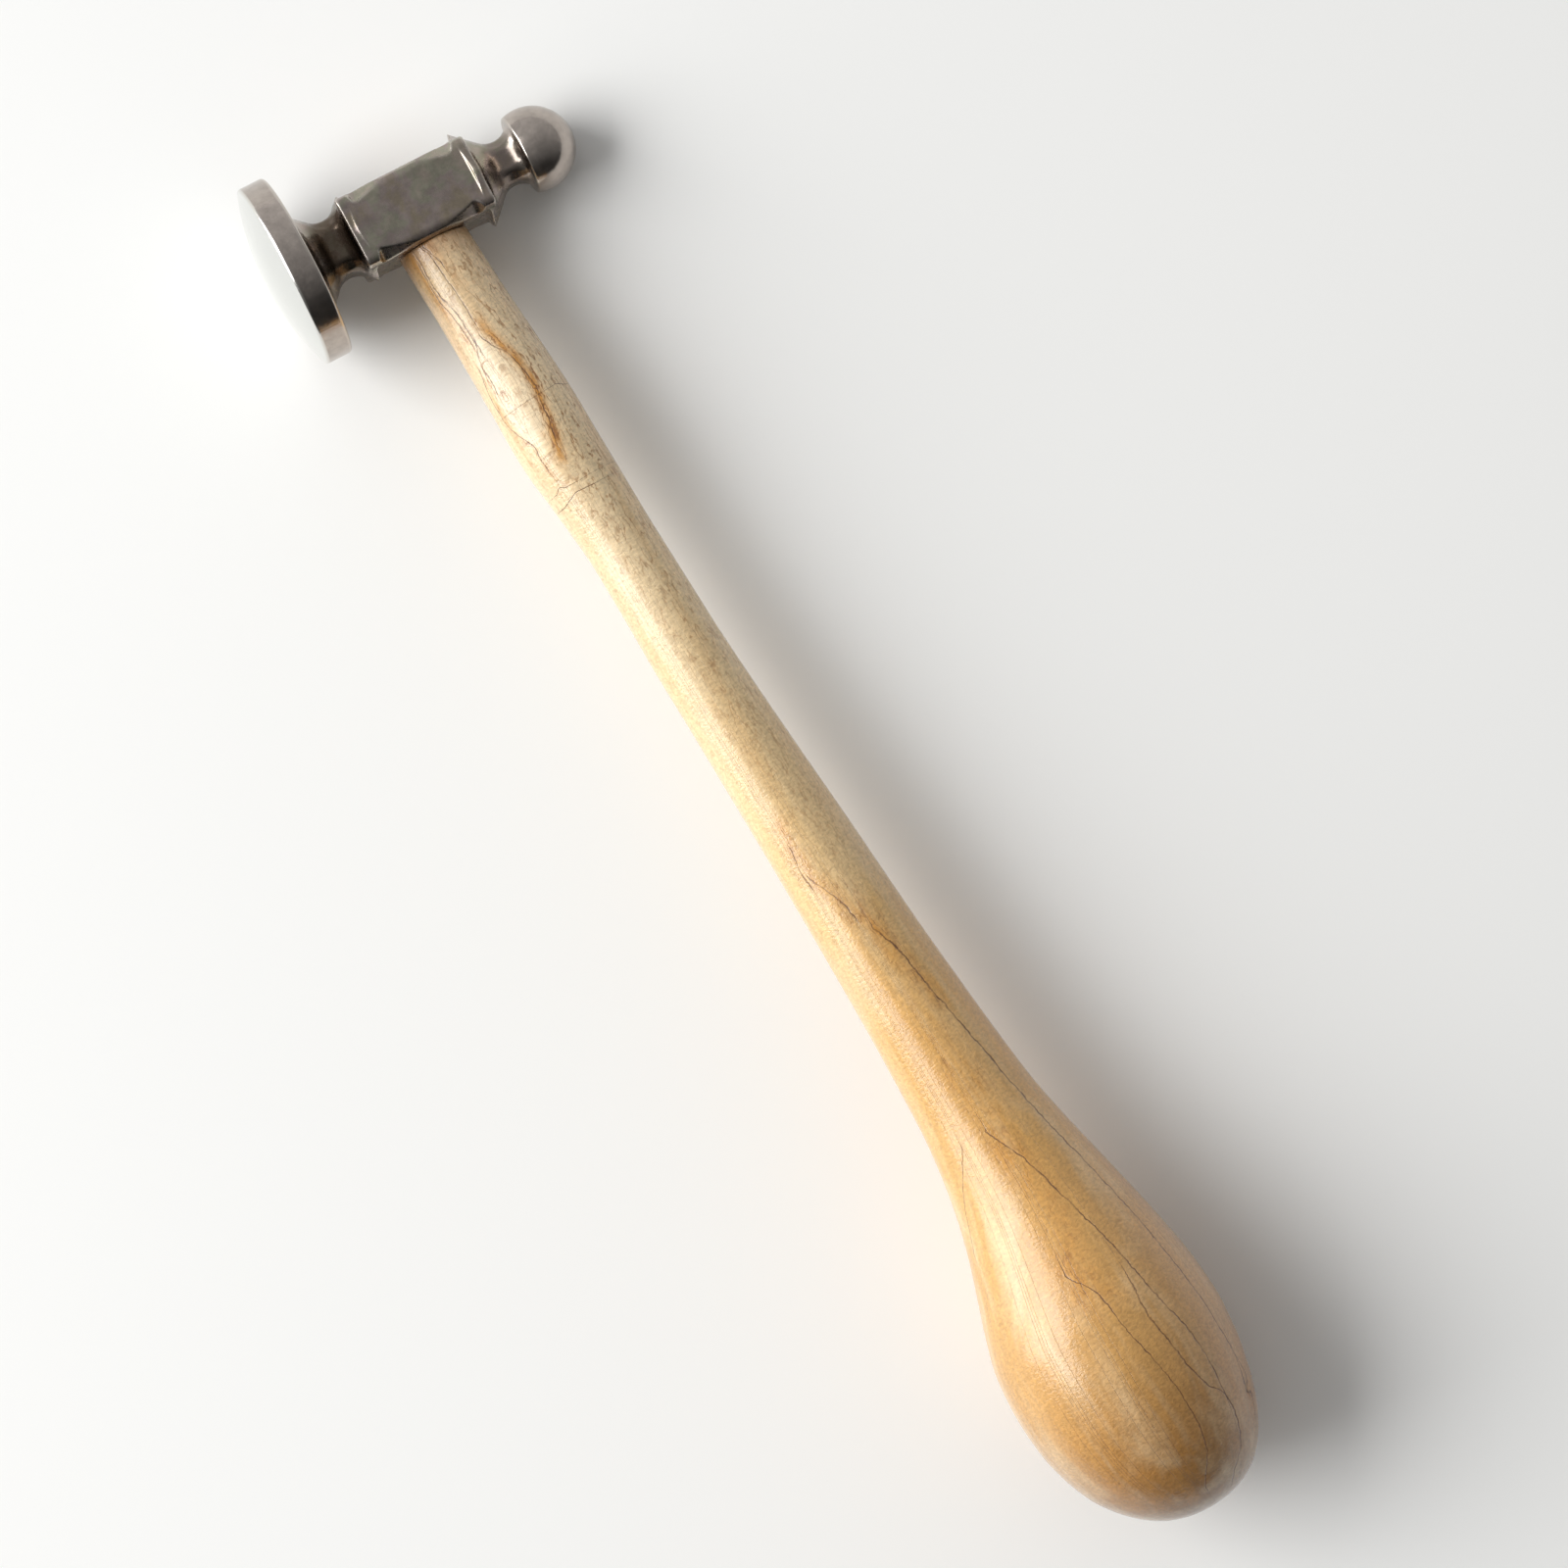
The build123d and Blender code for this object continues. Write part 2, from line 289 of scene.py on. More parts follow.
def point_values(piece, name, values, kind="FLOAT_VECTOR"):
    """Keeps one number or vector for each point of a piece, for its material to read."""
    field = {"FLOAT_VECTOR": "vector", "FLOAT": "value"}[kind]
    piece.data.attributes.new(name, kind, "POINT").data.foreach_set(field, np.ravel(values))


def own_millimetres(piece):
    """A piece's points back in the hammer's own axes and millimetres."""
    points = np.empty(len(piece.data.vertices) * 3)
    piece.data.vertices.foreach_get("co", points)
    back_up = np.array(lay_down.inverted())
    return points.reshape(-1, 3) @ back_up[:3, :3].T + back_up[:3, 3]


def edge_wear_and_highlight(piece, passes):
    """How sharply the skin bulges at each point, from 0 on a flat to about 1 on an edge."""
    points = own_millimetres(piece)
    ends = np.empty(len(piece.data.edges) * 2, int)
    piece.data.edges.foreach_get("vertices", ends)
    a, b = ends[0::2], ends[1::2]
    normals = np.empty(len(points) * 3)
    piece.data.vertices.foreach_get("normal", normals)
    normals = normals.reshape(-1, 3) @ np.array(lay_down.inverted().to_3x3()).T
    normals /= np.linalg.norm(normals, axis=1)[:, None]
    span = points[b] - points[a]
    bend = np.sum((normals[b] - normals[a]) * span, axis=1) / np.sum(span * span, axis=1)
    count = np.bincount(a, minlength=len(points)) + np.bincount(b, minlength=len(points))
    total = np.bincount(a, bend, len(points)) + np.bincount(b, bend, len(points))
    wear_and_highlight = np.clip(total / count, -0.5, 2.0)
    for _ in range(passes):
        spread = np.bincount(a, wear_and_highlight[b], len(points)) + np.bincount(b, wear_and_highlight[a], len(points))
        wear_and_highlight = (wear_and_highlight + spread / count) / 2
    return np.clip(wear_and_highlight, 0, 1)


def linear(hex_colour):
    """An sRGB hex colour as the linear colour that a shader socket takes."""
    parts = [int(hex_colour[i : i + 2], 16) / 255 for i in (1, 3, 5)]
    return tuple(p / 12.92 if p <= 0.04045 else ((p + 0.055) / 1.055) ** 2.4 for p in parts) + (1,)


def add(tree, kind, inputs, out=0, stops=(), **settings):
    """Adds a shader node with its settings, the links or values of its inputs, and for a ramp its
    stops; gives back one of its outputs."""
    node = tree.nodes.new("ShaderNode" + kind)
    for key, value in settings.items():
        setattr(node, key, value)
    for key, value in inputs.items():
        if isinstance(value, bpy.types.NodeSocket):
            tree.links.new(value, node.inputs[key])
        else:
            node.inputs[key].default_value = value
    for i, (place, shade) in enumerate(stops):
        ramp = node.color_ramp.elements
        stop = ramp[i] if i < len(ramp) else ramp.new(place)
        stop.position = place
        stop.color = linear(shade) if isinstance(shade, str) else (shade, shade, shade, 1)
    return node.outputs[out]


def new_material(name, **values):
    """A material with one Principled shader; gives the material, its tree and the shader."""
    material = bpy.data.materials.new(name)
    material.use_nodes = True
    shader = material.node_tree.nodes["Principled BSDF"]
    for key, value in values.items():
        shader.inputs[key.replace("_", " ")].default_value = value
    return material, material.node_tree, shader


# Tool steel, ground with a fine wheel and left bare. On the block it is a satin grey-brown with
# faint violet and green temper tints and a clouded gloss; the rim and the ball are finer and the
# face is polished. The neck hollows are darkened with a brown painted shade, and the edges are
# lightened, partly as wear from handling and partly as a painted highlight of their rounding.
steel, tree, shader = new_material("ground_tool_steel", Metallic=1.0)
to_own = hammer_axes.to_3x3().transposed()
turn_back = dict(
    Location=-(to_own @ eye_middle) * 1000, Rotation=to_own.to_euler(), Scale=(1000,) * 3
)
place = add(tree, "TexCoord", {}, 3)
place = add(tree, "Mapping", {"Vector": place, **turn_back})
ahead = add(tree, "SeparateXYZ", {0: place})
along = add(tree, "Math", {0: ahead}, operation="ABSOLUTE")
clouds = add(tree, "TexNoise", {"Vector": place, "Scale": 0.14, "Detail": 5.0, "Roughness": 0.6})
tints = add(
    tree,
    "ValToRGB",
    {0: clouds},
    stops=[(0.38, "#9f9382"), (0.47, "#9f928d"), (0.55, "#9a9787"), (0.64, "#a79c90")],
)
# the block ends 10.6 mm from the middle; the disc is from 16.8 to 22 mm and the ball from 17.6 mm
finer = add(tree, "MapRange", {0: along, 1: 15.5, 2: 17.5}, interpolation_type="SMOOTHSTEP")
colour = add(tree, "MixRGB", {0: finer, 1: tints, 2: linear("#b5aba3")})
smears = add(tree, "TexNoise", {"Vector": place, "Scale": 0.5, "Detail": 6.0, "Roughness": 0.68})
smear_tone = add(tree, "MapRange", {0: smears, 1: 0.3, 2: 0.7, 3: 0.78, 4: 1.14})
colour = add(tree, "MixRGB", {0: 1.0, 1: colour, 2: smear_tone}, blend_type="MULTIPLY")
# painted shade: brown, darker deeper in the neck hollows
hollow_shade = add(tree, "Attribute", {}, 2, attribute_name="hollow_shade")
hollow_shade = add(tree, "Math", {0: hollow_shade, 1: smear_tone}, operation="MULTIPLY", use_clamp=True)
colour = add(tree, "MixRGB", {0: hollow_shade, 1: colour, 2: linear("#55483c")})
polished = add(tree, "MapRange", {0: ahead, 1: -21.6, 2: -22.0}, interpolation_type="SMOOTHSTEP")
colour = add(tree, "MixRGB", {0: polished, 1: colour, 2: linear("#e6e7e4")})
# edges lighter: partly wear from handling, partly a painted highlight of the rounded edges
wear_and_highlight = add(tree, "Attribute", {}, 2, attribute_name="wear_and_highlight")
wear_and_highlight = add(tree, "MapRange", {0: wear_and_highlight, 1: 0.35, 2: 1.1, 4: 0.55})
colour = add(tree, "MixRGB", {0: wear_and_highlight, 1: colour, 2: linear("#d5cfc7")})
tree.links.new(colour, shader.inputs["Base Color"])
satin = add(tree, "MapRange", {0: smears, 1: 0.32, 2: 0.68, 3: 0.2, 4: 0.34})
gloss = add(tree, "MapRange", {0: smears, 1: 0.32, 2: 0.68, 3: 0.13, 4: 0.24})
rough = add(tree, "MixRGB", {0: finer, 1: satin, 2: gloss})
tree.links.new(rough, shader.inputs["Roughness"])
# wheel marks are about 0.05 mm apart, too fine to show, so they are drawn 0.4 mm apart
stretched = add(tree, "Mapping", {"Vector": place, "Scale": (0.2, 2.4, 2.4)})
scratches = add(tree, "TexNoise", {"Vector": stretched, "Scale": 1.0, "Detail": 4.0})
dimples = add(tree, "TexNoise", {"Vector": place, "Scale": 0.7, "Detail": 5.0, "Roughness": 0.6})
relief = add(tree, "Math", {0: scratches, 1: 0.4, 2: dimples}, operation="MULTIPLY_ADD")
relief = add(tree, "Bump", {"Height": relief, "Strength": 0.35, "Distance": 0.00006})
tree.links.new(relief, shader.inputs["Normal"])
head.data.materials.clear()
head.data.materials.append(steel)
point_values(head, "wear_and_highlight", edge_wear_and_highlight(head, 1), "FLOAT")
skin = own_millimetres(head)
from_axis = np.hypot(skin[:, 1], skin[:, 2])
# the painted shade in the neck hollows: for each neck its middle and half length along the head,
# the distance from the axis where it fades out and in, and its strength
hollow_shade_share = 0
for middle, half_long, fades_out, full, strength in (
    (-13.8, 3.6, 7.2, 5.6, 0.9),
    (13.6, 3.4, 5.4, 4.0, 0.45),
):
    deep_in = np.clip((from_axis - fades_out) / (full - fades_out), 0, 1)
    hollow_shade_share = hollow_shade_share + strength * deep_in * (np.abs(skin[:, 0] - middle) < half_long)
point_values(head, "hollow_shade", hollow_shade_share, "FLOAT")
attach(head, "root")
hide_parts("head")

# HANDLE
# One turning of a pale close-grained hardwood, sanded and dipped in clear lacquer. Its oval tenon
# fills the eye, its round shoulder seats against the head, a small knot swells the shaft on the
# face's side, and a knock has left a small dent in the grip. Each station of the turning is its
# depth below the middle of the eye, its diameter and its drift towards the ball:
HANDLE_STATIONS = [
    (5.2, 11.0, 0.0),
    (14.4, 11.1, 0.0),
    (26.0, 11.7, 0.0),
    (32.0, 12.1, -0.05),
    (38.0, 12.35, -0.23),
    (42.0, 12.25, -0.32),
    (47.0, 11.8, -0.2),
    (52.0, 11.35, -0.08),
    (58.5, 10.9, 0.0),
    (69.0, 11.15, -0.14),
    (78.0, 11.5, -0.3),
    (86.5, 11.85, -0.25),
    (98.5, 12.55, -0.15),
    (112.5, 13.5, -0.05),
    (127.0, 14.5, -0.05),
    (141.5, 15.95, 0.0),
    (150.0, 17.1, 0.0),
    (156.0, 18.1, 0.0),
    (162.0, 19.85, 0.0),
    (168.0, 22.2, -0.05),
    (174.0, 25.1, -0.3),
    (180.0, 28.4, -0.8),
    (186.0, 31.65, -1.4),
    (192.0, 34.1, -1.9),
    (198.0, 34.9, -2.1),
    (204.0, 34.1, -2.35),
    (209.0, 32.1, -2.45),
    (213.5, 29.1, -2.4),
    (217.0, 25.3, -2.2),
    (220.0, 20.5, -1.95),
    (222.1, 15.2, -1.75),
    (223.4, 9.4, -1.65),
    (224.05, 0.0, -1.6),
]
HANDLE_END = HANDLE_STATIONS[-1][0]
HANDLE_AROUND = 208
STRAIGHT_RINGS, END_RINGS = 372, 44
END_ROUND_FROM = 204.0
NOTCH_AT, NOTCH_TURN, NOTCH_HALF, NOTCH_DEEP = 212.0, 60.0, (1.1, 0.9), 0.6
SHOULDER_ROUND = 0.4
TENON_GAP = 0.02


def smooth_line(at, value, x):
    """A smooth line through given points that never overshoots them, flat past its ends."""
    at, value = np.array(at, float), np.array(value, float)
    rise = np.diff(value) / np.diff(at)
    slope = np.zeros(len(at))
    same = rise[:-1] * rise[1:] > 0
    slope[1:-1][same] = 2 * (rise[:-1] * rise[1:])[same] / (rise[:-1] + rise[1:])[same]
    slope[0], slope[-1] = rise[0], rise[-1]
    x = np.clip(x, at[0], at[-1])
    i = np.clip(np.searchsorted(at, x) - 1, 0, len(at) - 2)
    span = at[i + 1] - at[i]
    t = (x - at[i]) / span
    return (
        (1 + 2 * t) * (1 - t) ** 2 * value[i]
        + t * (1 - t) ** 2 * span * slope[i]
        + t**2 * (3 - 2 * t) * value[i + 1]
        + t**2 * (t - 1) * span * slope[i + 1]
    )


def turned_shape(depth):
    """The turning's radius and drift at a depth; the squared size gives the end a round nose."""
    at, size, drift = zip(*HANDLE_STATIONS)
    squared = smooth_line(at, np.array(size) ** 2, depth)
    return np.sqrt(np.maximum(squared, 0)) / 2, smooth_line(at, drift, depth)


def level(height, side):
    """How deep along the handle a point lies that is level with a height on the head."""
    return (side * sin(HANG_ANGLE) - height) / cos(HANG_ANGLE)


def handle_mesh():
    """Rings from the tenon's flat top, down through the eye and the shoulder, to the nose."""
    turn = np.arange(HANDLE_AROUND) * 2 * pi / HANDLE_AROUND
    side_way, across_way = np.cos(turn), np.sin(turn)
    top, under = BLOCK_HALF[2], -BLOCK_HALF[2]
    mouth = [size - TENON_GAP for size in eye_wall(-top)]
    rings = []
    for share in (0.2, 0.45, 0.7, 0.88, 0.97):
        side = mouth[0] * share * side_way
        rings.append((level(top, side), side, mouth[1] * share * across_way))
    for height in np.linspace(top, under, 11):
        long, short = (size - TENON_GAP for size in eye_wall(-height))
        side = long * side_way
        rings.append((level(height, side), side, short * across_way))
    start = -under / cos(HANG_ANGLE)
    radius = turned_shape(start)[0]
    for lift in np.radians([0, 22, 45, 68]):
        r = radius - SHOULDER_ROUND * (1 - sin(lift))
        down = SHOULDER_ROUND * (1 - cos(lift))
        rings.append((level(under, r * side_way) + down, r * side_way, r * across_way))
    depths = np.concatenate(
        [
            np.linspace(start + SHOULDER_ROUND, END_ROUND_FROM, STRAIGHT_RINGS),
            END_ROUND_FROM
            + (HANDLE_END - END_ROUND_FROM) * np.sin(np.linspace(0, pi / 2, END_RINGS + 2)[1:-1]),
        ]
    )
    turn_from_top = np.arctan2(side_way, -across_way) - radians(NOTCH_TURN)
    for depth in depths:
        r, drift = turned_shape(depth)
        off_notch = np.hypot((depth - NOTCH_AT) / NOTCH_HALF[0], r * turn_from_top / NOTCH_HALF[1])
        r = r - NOTCH_DEEP * np.exp(-(off_notch**2))
        follow = max(0.0, 1 - (depth - start) / 8) * r * side_way * sin(HANG_ANGLE)
        rings.append((depth + follow, drift + r * side_way, r * across_way))
    points = [np.stack(down_handle(*ring), axis=-1) for ring in rings]
    ends = [down_handle(level(top, 0.0)), down_handle(HANDLE_END, turned_shape(HANDLE_END)[1])]
    return np.vstack([*points, ends]), tube_faces(len(rings), HANDLE_AROUND)


handle = laid_piece("turned_handle", *handle_mesh())


def copy_of(node):
    """A closed copy of a CAD node's mesh, to cut with."""
    tool = bpy.data.objects.new("tool", frame["nodes"][node].data.copy())
    bpy.context.scene.collection.objects.link(tool)
    work = bmesh.new()
    work.from_mesh(tool.data)
    bmesh.ops.remove_doubles(work, verts=work.verts, dist=1e-7)
    work.to_mesh(tool.data)
    work.free()
    return tool


for node in ("wooden_wedge", "steel_wedge"):
    cut_away(handle, copy_of(node))
outward(handle)

# Where the wood's dark lines run on the lacquered surface, as points of depth and of degrees
# round from the side away from the bench towards the ball. Each has its half width in
# millimetres. Long growth lines and checks run down the handle:
LONG_LINES = [
    (
        0.17,
        [
            (126, 2), (131, 14), (135, 17), (143, 25), (153, 34), (161, 39), (173, 45), (182, 48),
            (190, 49), (200, 52), (206, 56), (210, 62),
        ],
    ),
    (
        0.15,
        [
            (160, -12), (165, 1), (170, 8), (176, 14), (182, 20), (189, 24), (194, 27), (199, 31),
            (205, 34), (209, 35),
        ],
    ),
    (
        0.17,
        [
            (189, 18), (194, 16), (198, 18), (203, 21), (207, 26), (210, 35), (214, 38), (217, 37),
            (221, 24),
        ],
    ),
    (
        0.12,
        [
            (183, -12), (188, 0), (194, 3), (201, 8), (206, 11), (211, 12), (215, 10), (220, -4),
        ],
    ),
    (0.14, [(6, -22), (7, -19), (9.5, -11)]),
    (0.15, [(6, -42), (8, -41), (11, -44), (15, -39), (18, -33), (21, -33), (25, -31)]),
    (0.11, [(6, -26), (8, -20), (12, -18), (16, -16), (20, -17)]),
    (0.11, [(8, -46), (13, -49), (18, -42), (22, -39)]),
    (0.14, [(22, -31), (24, -40), (26, -44), (29, -44), (30, -46)]),
    (0.13, [(22, -20), (24, -12), (26, 0), (29, 6), (32, 10), (35, 4), (38, 1), (41, -6)]),
    (0.12, [(26, -52), (31, -63), (34, -62), (37, -50), (40, -37), (44, -38)]),
    (0.14, [(115, -33), (118, -20), (121, -12), (123, -9)]),
    (0.11, [(110, -33), (112, -36), (114, -38), (116, -36)]),
    (0.1, [(160, -39), (163, -50), (168, -66), (174, -74)]),
    # the last and widest line is painted shadow in the dent of the grip
    (0.35, [(210.6, 56), (211.6, 60), (212.6, 64)]),
]
# and three short checks run across it: half width, then points of degrees and depth.
CROSS_LINES = [
    (0.1, [(-52, 49.6), (-36, 49.2), (-20, 48.7), (-8, 48.9)]),
    (0.07, [(-50, 47.4), (-40, 46.9), (-30, 47.3)]),
    (0.07, [(38, 33.4), (48, 33.8), (58, 34.1)]),
]
# Amber heartwood shows in bands: half width, strength and the same points as the long lines;
AMBER_BANDS = [
    (0.75, 1.0, [(21, -10), (24, -2), (27, 6), (30, 9), (33, 8), (36, 3), (39, -1), (43, -12)]),
    (0.7, 0.55, [(7, -52), (12, -52), (18, -48), (23, -42), (28, -48), (33, -58)]),
    (0.5, 0.5, [(33, -58), (37, -50), (40, -40), (44, -38)]),
    (1.6, 0.5, [(106, -30), (113, -35), (118, -18), (123, -4), (128, 8), (133, 14), (140, 20)]),
    (2.6, 0.35, [(150, 5), (158, 2), (164, -4), (172, 2), (182, -2), (190, 6)]),
]
# and in patches: depth, degrees, half length, half width and strength.
AMBER_PATCHES = [
    (165, -5, 5.5, 2.6, 0.75),
    (184, -8, 6.0, 2.8, 0.7),
    (121, -14, 4.0, 1.5, 0.6),
    (127, 4, 6.0, 1.2, 0.8),
    (150, -8, 16.0, 3.5, 0.3),
    (206, -30, 14.0, 9.0, 0.25),
    (39, -16, 0.5, 0.3, 1.0),
    (40.2, -35, 0.45, 0.35, 1.0),
    (31, -37, 0.5, 0.35, 0.9),
    (32, 12, 0.5, 0.3, 1.0),
]
KNOT_AT, KNOT_TURN, KNOT_HALF = 31.2, -27.0, (9.8, 3.0)

own = own_millimetres(handle) - np.array([EYE_AT, 0, 0])
depth = own @ np.array([sin(HANG_ANGLE), 0, -cos(HANG_ANGLE)])
side = own @ np.array([cos(HANG_ANGLE), 0, sin(HANG_ANGLE)]) - turned_shape(depth)[1]
radius, around = np.hypot(side, own[:, 1]), np.degrees(np.arctan2(side, -own[:, 1]))


def mm_round(degrees_from):
    """Millimetres round the surface from an angle, the shorter way."""
    return radius * np.radians((around - degrees_from + 180) % 360 - 180)


def off_line(half_width, offset, place, start, end):
    """Signed distance from a line in half widths; past the line's two ends it grows."""
    past = np.maximum(np.maximum(start - place, place - end), 0)
    return np.sign(offset + 1e-9) * np.hypot(offset, past * 0.25) / half_width


line_offsets = []
for half_width, points in LONG_LINES:
    at, angle = zip(*points)
    offset = mm_round(smooth_line(at, angle, depth))
    line_offsets.append(off_line(half_width, offset, depth, at[0], at[-1]))
for half_width, points in CROSS_LINES:
    angle, at = zip(*points)
    offset = depth - smooth_line(angle, at, around)
    line_offsets.append(off_line(half_width, offset, around / 9, angle[0] / 9, angle[-1] / 9))
LINES_TOGETHER = 3
for i in range(0, len(line_offsets), LINES_TOGETHER):
    group = line_offsets[i : i + LINES_TOGETHER]
    point_values(handle, f"lines_{i // LINES_TOGETHER}", np.clip(np.stack(group, axis=-1), -9, 9))

amber = np.zeros(len(depth))
for half_width, strength, points in AMBER_BANDS:
    at, angle = zip(*points)
    past = np.maximum(np.maximum(at[0] - depth, depth - at[-1]), 0)
    far = np.hypot(mm_round(smooth_line(at, angle, depth)) / half_width, past / 1.5)
    amber = np.maximum(amber, strength * np.exp(-(far**2)))
for at, angle, half_long, half_wide, strength in AMBER_PATCHES:
    far = np.hypot(mm_round(angle) / half_wide, (depth - at) / half_long)
    amber = np.maximum(amber, strength * np.exp(-(far**2)))

# The fibres part round the knot as water does round a stone, and close again behind it.
from_knot = mm_round(KNOT_TURN)
ring = np.hypot(from_knot / KNOT_HALF[1], (depth - KNOT_AT) / KNOT_HALF[0])
parting = from_knot / (ring**2 + 0.3) * (0.5 + 0.5 * np.cos(np.radians(around - KNOT_TURN)))
knot = 1 - np.clip((ring - 0.8) / 0.3, 0, 1)
fibre_turn = np.radians(around) - parting / np.maximum(radius, 1)
fibres = np.stack([radius * np.sin(fibre_turn), -radius * np.cos(fibre_turn), depth], axis=-1)
point_values(handle, "fibres", fibres)
point_values(handle, "stain", np.stack([amber, knot, 0 * knot], axis=-1))

# Pale ash-like hardwood under thin gloss lacquer: cream near the head, there partly painted light
# where the head's shadow falls, and honey in the grip, with short wavy pores about 0.3 mm wide and
# 2 mm long, amber heartwood, and hairline checks.
wood, tree, shader = new_material(
    "lacquered_hardwood", Roughness=0.5, Coat_Weight=1.0, Coat_Roughness=0.17, Coat_IOR=1.5
)
fibre = add(tree, "Attribute", {}, 1, attribute_name="fibres")
fibre_side, _, fibre_depth = add(tree, "SeparateXYZ", {0: fibre}).node.outputs
stain = add(tree, "Attribute", {}, 1, attribute_name="stain")
amber_share, knot_share, _ = add(tree, "SeparateXYZ", {0: stain}).node.outputs
down = add(tree, "MapRange", {0: fibre_depth, 1: 0.0, 2: HANDLE_END})
ground = add(
    tree,
    "ValToRGB",
    {0: down},
    stops=[
        # painted shade where the shoulder meets the head
        (0.025, "#c48f5c"),
        # from here to about 54 mm the cream wood is lifted by painted light where the head's shadow
        # falls
        (0.045, "#efcd9d"),
        (0.12, "#f2d6aa"),
        (0.24, "#f0d3a4"),
        (0.4, "#ebcb96"),
        (0.52, "#e3bb7b"),
        (0.62, "#dcaa5e"),
        (0.74, "#d9a659"),
        (0.88, "#cf9d56"),
        (0.95, "#ab7b43"),
        (1.0, "#876039"),
    ],
)
# slow changes of tone, about 5 mm wide and 40 mm long
slow = add(tree, "Mapping", {"Vector": fibre, "Scale": (0.2, 0.2, 0.03)})
slow = add(tree, "TexNoise", {"Vector": slow, "Scale": 1.0, "Detail": 3.0, "Distortion": 0.6})
pale = add(tree, "MapRange", {0: slow, 1: 0.45, 2: 0.75, 3: 0.0, 4: 0.5})
ground = add(tree, "MixRGB", {0: pale, 1: ground, 2: linear("#f3ddb6")})
deep = add(tree, "MapRange", {0: slow, 1: 0.5, 2: 0.25, 3: 0.0, 4: 0.45})
ground = add(tree, "MixRGB", {0: deep, 1: ground, 2: linear("#cf9c57")})
# towards the ball's side, turned away from the softbox, the grip turns a darker pinkish tan:
# painted shade
away_side_shade = add(tree, "MapRange", {0: fibre_side, 1: 3.0, 2: 14.0, 3: 0.0, 4: 0.5})
ground = add(tree, "MixRGB", {0: away_side_shade, 1: ground, 2: linear("#bd9069")})
# growth rings about 1.3 mm apart, seen edge on
rings = add(tree, "Mapping", {"Vector": fibre, "Scale": (0.8, 0.5, 0.02)})
rings = add(tree, "TexNoise", {"Vector": rings, "Scale": 1.0, "Detail": 6.0, "Distortion": 0.8})
rings = add(tree, "MapRange", {0: rings, 1: 0.35, 2: 0.65, 3: 0.93, 4: 1.04})
ground = add(tree, "MixRGB", {0: 1.0, 1: ground, 2: rings}, blend_type="MULTIPLY")
stain_noise = add(tree, "Mapping", {"Vector": fibre, "Scale": (1.1, 1.1, 0.35)})
stain_noise = add(tree, "TexNoise", {"Vector": stain_noise, "Scale": 1.0, "Detail": 5.0})
stain_noise = add(tree, "MapRange", {0: stain_noise, 1: 0.3, 2: 0.62, 3: 0.35, 4: 1.15})
amber_share = add(tree, "Math", {0: amber_share, 1: stain_noise}, operation="MULTIPLY")
ground = add(tree, "MixRGB", {0: amber_share, 1: ground, 2: linear("#d29135")})
heart = add(tree, "Math", {0: knot_share, 1: 0.6}, operation="MULTIPLY")
ground = add(tree, "MixRGB", {0: heart, 1: ground, 2: linear("#f4dfbc")})

# pores: thin ridges of a long wavy noise, broken up by a second one
waves = add(tree, "TexNoise", {"Vector": fibre, "Scale": 0.9, "Detail": 2.0}, 1)
waved = add(tree, "VectorMath", {0: waves, 1: (0.8, 0.8, 0.4), 2: fibre}, operation="MULTIPLY_ADD")
pores = add(tree, "Mapping", {"Vector": waved, "Scale": (1.0, 1.0, 0.17)})
pores = add(tree, "TexNoise", {"Vector": pores, "Scale": 1.25, "Detail": 1.5, "Roughness": 0.4})
pores = add(tree, "Math", {0: pores, 1: 0.5}, operation="SUBTRACT")
pores = add(tree, "Math", {0: pores}, operation="ABSOLUTE")
pores = add(tree, "MapRange", {0: pores, 1: 0.0, 2: 0.055, 3: 1.0, 4: 0.0})
broken = add(tree, "Mapping", {"Vector": fibre, "Scale": (0.9, 0.9, 0.5)})
broken = add(tree, "TexNoise", {"Vector": broken, "Scale": 1.0, "Detail": 3.0})
broken = add(tree, "MapRange", {0: broken, 1: 0.38, 2: 0.56, 3: 0.25, 4: 1.0})
pores = add(tree, "Math", {0: pores, 1: broken}, operation="MULTIPLY")
open_grain = add(
    tree,
    "ValToRGB",
    {0: down},
    stops=[
        (0.02, 0.7),
        (0.1, 0.95),
        (0.21, 0.95),
        (0.3, 0.65),
        (0.5, 0.4),
        (0.62, 0.1),
        (1.0, 0.04),
    ],
)
on_ball_side = add(tree, "MapRange", {0: fibre_side, 1: -3.0, 2: 1.0, 3: 0.45, 4: 1.0})
open_grain = add(tree, "Math", {0: open_grain, 1: on_ball_side}, operation="MULTIPLY")
open_grain = add(tree, "Math", {0: amber_share, 1: 1.2, 2: open_grain}, operation="MULTIPLY_ADD")
pores = add(tree, "Math", {0: pores, 1: open_grain}, operation="MULTIPLY", use_clamp=True)
ground = add(tree, "MixRGB", {0: pores, 1: ground, 2: linear("#a06a30")})
# a close pebbling about 0.4 mm across, in the grip's wood and in its lacquer
pebbles = add(tree, "Mapping", {"Vector": fibre, "Scale": (0.7, 0.7, 1.1)})
pebbles = add(tree, "TexNoise", {"Vector": pebbles, "Scale": 2.2, "Detail": 3.0, "Distortion": 0.5})
pebble_tone = add(tree, "MapRange", {0: pebbles, 1: 0.3, 2: 0.7, 3: 0.79, 4: 1.12})
ground = add(tree, "MixRGB", {0: 1.0, 1: ground, 2: pebble_tone}, blend_type="MULTIPLY")

